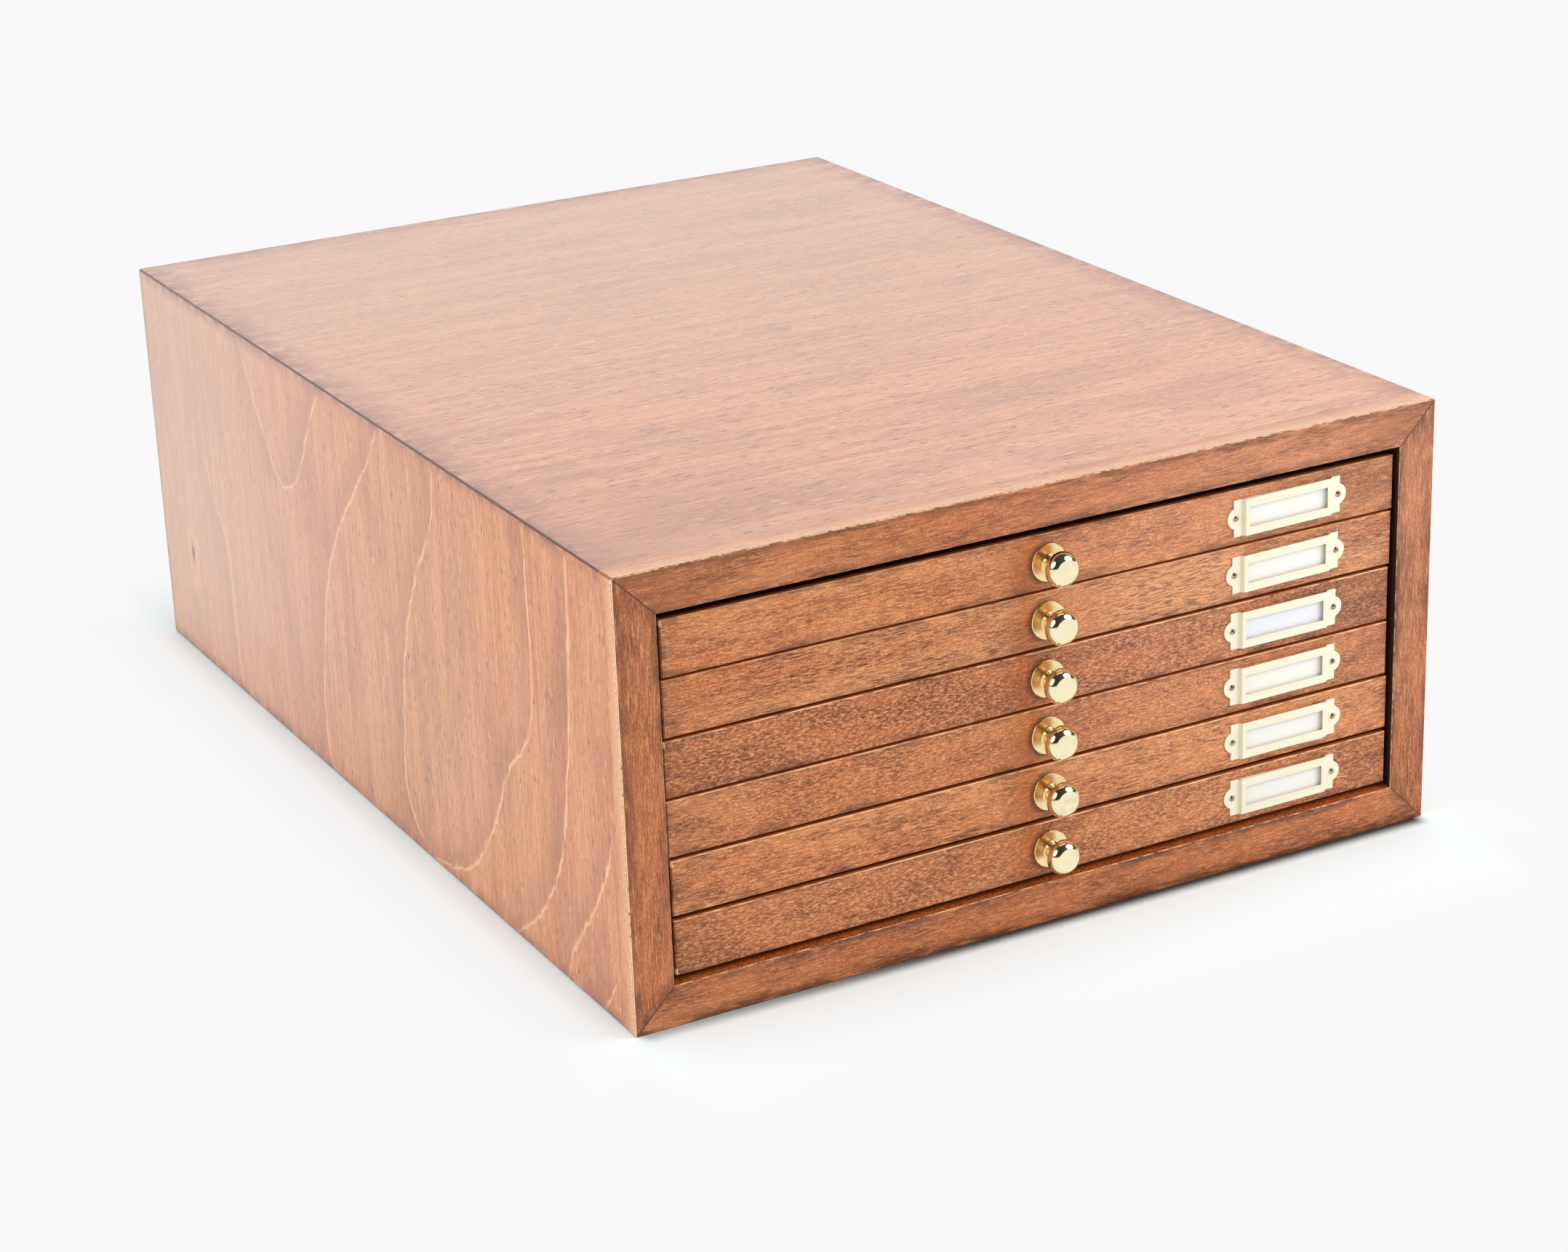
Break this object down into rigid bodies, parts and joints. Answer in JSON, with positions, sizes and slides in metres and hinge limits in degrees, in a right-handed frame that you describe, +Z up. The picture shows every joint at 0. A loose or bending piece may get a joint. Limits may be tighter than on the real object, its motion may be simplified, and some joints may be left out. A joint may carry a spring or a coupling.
{
  "type": "coin cabinet",
  "caption": "Low table cabinet with a mitred lipped case and shallow full-width drawers for coins, each with a brass knob and a label holder, running on side strips.",
  "frame": {"origin": "middle of the footprint, on the surface that the cabinet stands on", "axes": "+X to the right seen from the front, +Y to the back, +Z up"},
  "size_m": [0.385, 0.5385, 0.1915],
  "materials": {
    "case_veneer": "satin stained veneer",
    "lipping": "satin stained solid wood",
    "drawer_front": "satin stained solid wood",
    "runner_wood": "waxed hardwood",
    "tray_wood": "clear-lacquered hardwood",
    "plywood": "clear-lacquered plywood",
    "felt": "dark red felt",
    "brass": "polished",
    "pin_brass": "polished",
    "steel": "zinc plated",
    "cream_lacquer": "satin cream lacquer",
    "card": "blank white card"
  },
  "bodies": {
    "case": {"top_panel": "case_veneer", "bottom_panel": "case_veneer", "left_side": "case_veneer", "right_side": "case_veneer", "top_lipping": "lipping", "bottom_lipping": "lipping", "left_lipping": "lipping", "right_lipping": "lipping", "back_panel": "plywood", "back_screws": "steel", "mitre_splines": "plywood", "drawer_runners": "runner_wood"},
    "drawer_1": {"drawer_1_front": "drawer_front", "drawer_1_tray_frame": "tray_wood", "drawer_1_base": "plywood", "drawer_1_coin_board": "felt", "drawer_1_knob": "brass", "drawer_1_label_holder": "cream_lacquer", "drawer_1_label_card": "card", "drawer_1_fixings": "pin_brass"},
    "drawer_2": {"drawer_2_front": "drawer_front", "drawer_2_tray_frame": "tray_wood", "drawer_2_base": "plywood", "drawer_2_coin_board": "felt", "drawer_2_knob": "brass", "drawer_2_label_holder": "cream_lacquer", "drawer_2_label_card": "card", "drawer_2_fixings": "pin_brass"},
    "drawer_3": {"drawer_3_front": "drawer_front", "drawer_3_tray_frame": "tray_wood", "drawer_3_base": "plywood", "drawer_3_coin_board": "felt", "drawer_3_knob": "brass", "drawer_3_label_holder": "cream_lacquer", "drawer_3_label_card": "card", "drawer_3_fixings": "pin_brass"},
    "drawer_4": {"drawer_4_front": "drawer_front", "drawer_4_tray_frame": "tray_wood", "drawer_4_base": "plywood", "drawer_4_coin_board": "felt", "drawer_4_knob": "brass", "drawer_4_label_holder": "cream_lacquer", "drawer_4_label_card": "card", "drawer_4_fixings": "pin_brass"},
    "drawer_5": {"drawer_5_front": "drawer_front", "drawer_5_tray_frame": "tray_wood", "drawer_5_base": "plywood", "drawer_5_coin_board": "felt", "drawer_5_knob": "brass", "drawer_5_label_holder": "cream_lacquer", "drawer_5_label_card": "card", "drawer_5_fixings": "pin_brass"},
    "drawer_6": {"drawer_6_front": "drawer_front", "drawer_6_tray_frame": "tray_wood", "drawer_6_base": "plywood", "drawer_6_coin_board": "felt", "drawer_6_knob": "brass", "drawer_6_label_holder": "cream_lacquer", "drawer_6_label_card": "card", "drawer_6_fixings": "pin_brass"}
  },
  "joints": [
    {"name": "drawer_1_slide", "type": "slide", "parent": "case", "child": "drawer_1", "axis": [0, -1, 0], "range_m": [0, 0.4]},
    {"name": "drawer_2_slide", "type": "slide", "parent": "case", "child": "drawer_2", "axis": [0, -1, 0], "range_m": [0, 0.4]},
    {"name": "drawer_3_slide", "type": "slide", "parent": "case", "child": "drawer_3", "axis": [0, -1, 0], "range_m": [0, 0.4]},
    {"name": "drawer_4_slide", "type": "slide", "parent": "case", "child": "drawer_4", "axis": [0, -1, 0], "range_m": [0, 0.4]},
    {"name": "drawer_5_slide", "type": "slide", "parent": "case", "child": "drawer_5", "axis": [0, -1, 0], "range_m": [0, 0.4]},
    {"name": "drawer_6_slide", "type": "slide", "parent": "case", "child": "drawer_6", "axis": [0, -1, 0], "range_m": [0, 0.4]}
  ]
}
